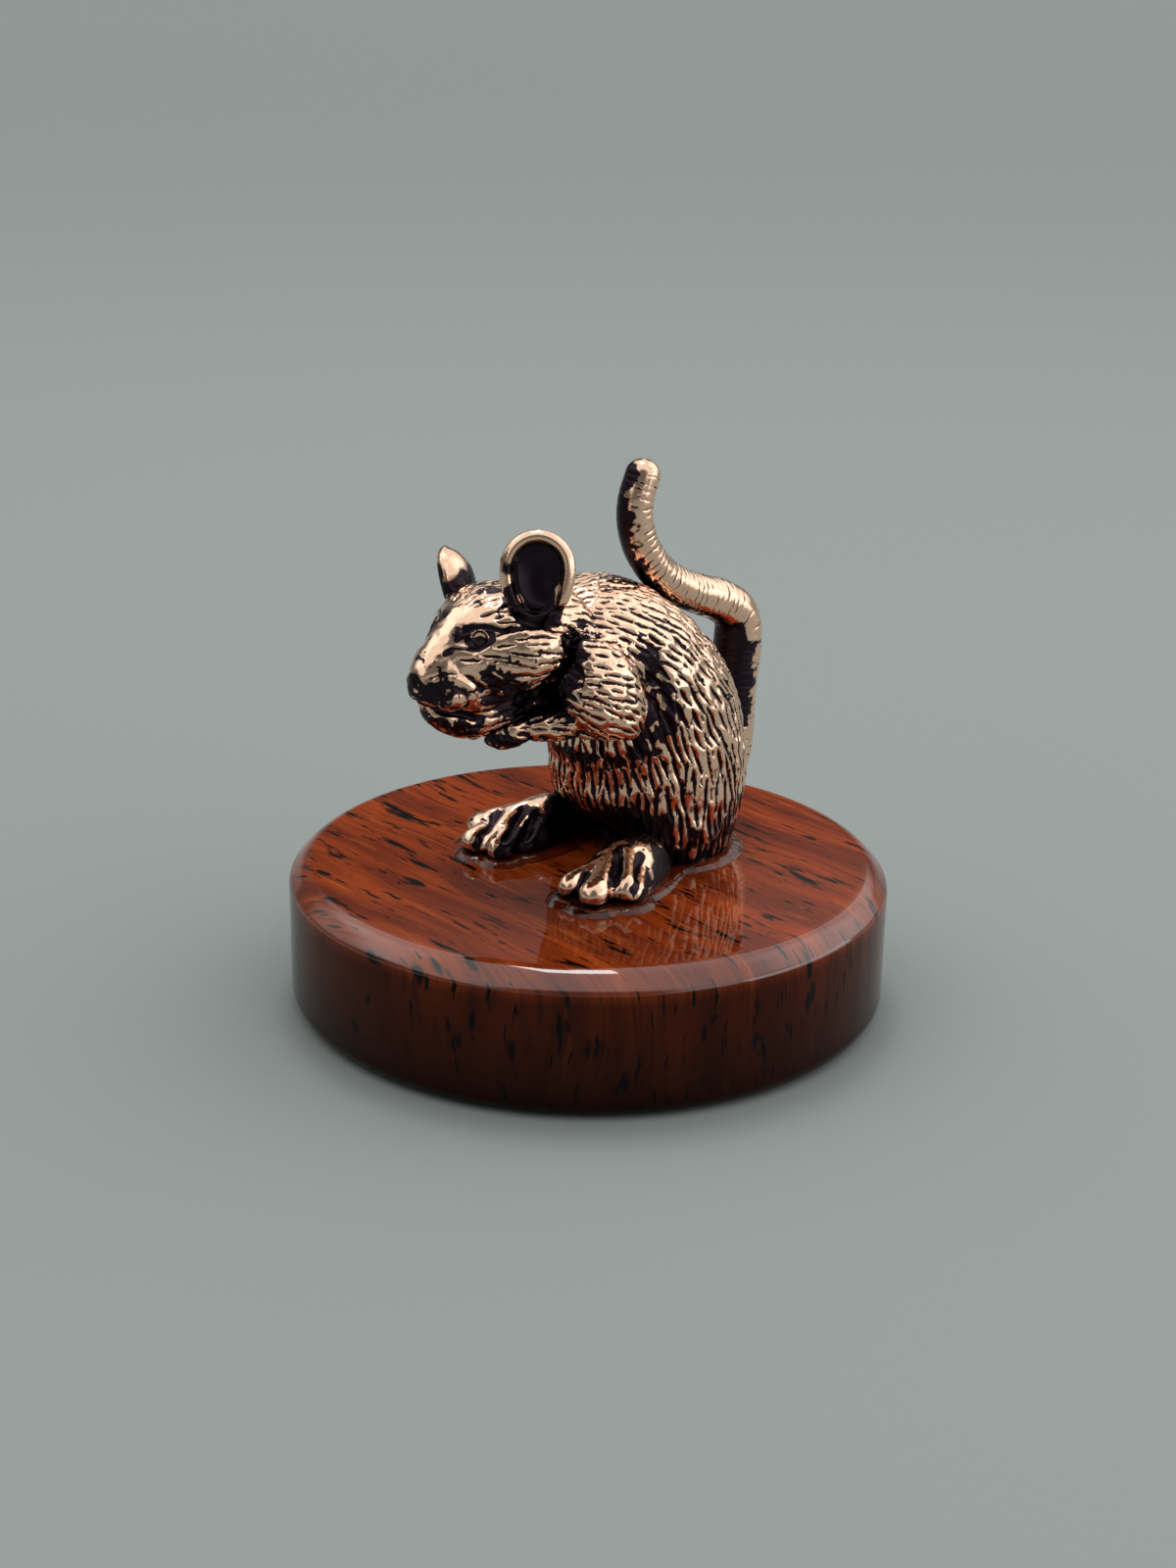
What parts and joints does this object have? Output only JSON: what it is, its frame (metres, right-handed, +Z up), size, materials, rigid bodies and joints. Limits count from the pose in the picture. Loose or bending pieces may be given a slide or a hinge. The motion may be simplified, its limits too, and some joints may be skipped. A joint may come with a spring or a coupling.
{
  "type": "mouse figurine",
  "caption": "Small cast bronze mouse sitting upright with its paws under its chin and its tail curled up, glued to a polished round stone disc.",
  "frame": {"origin": "centre of the stone's flat underside", "axes": "+Z up, the mouse looks along -Y, its left side is +X"},
  "size_m": [0.05, 0.05, 0.0451],
  "materials": {
    "bronze": "cast bronze with a dark patina left in the grooves and a polished surface",
    "stone": "polished red-brown volcanic glass with black streaks",
    "adhesive": "clear set glue, glossy, dark over the stone"
  },
  "bodies": {
    "root": {"stone_base": "stone", "adhesive_bed": "adhesive", "torso": "bronze", "head": "bronze", "left_ear": "bronze", "right_ear": "bronze", "left_foreleg": "bronze", "right_foreleg": "bronze", "left_hind_foot": "bronze", "right_hind_foot": "bronze", "tail": "bronze"}
  },
  "joints": []
}
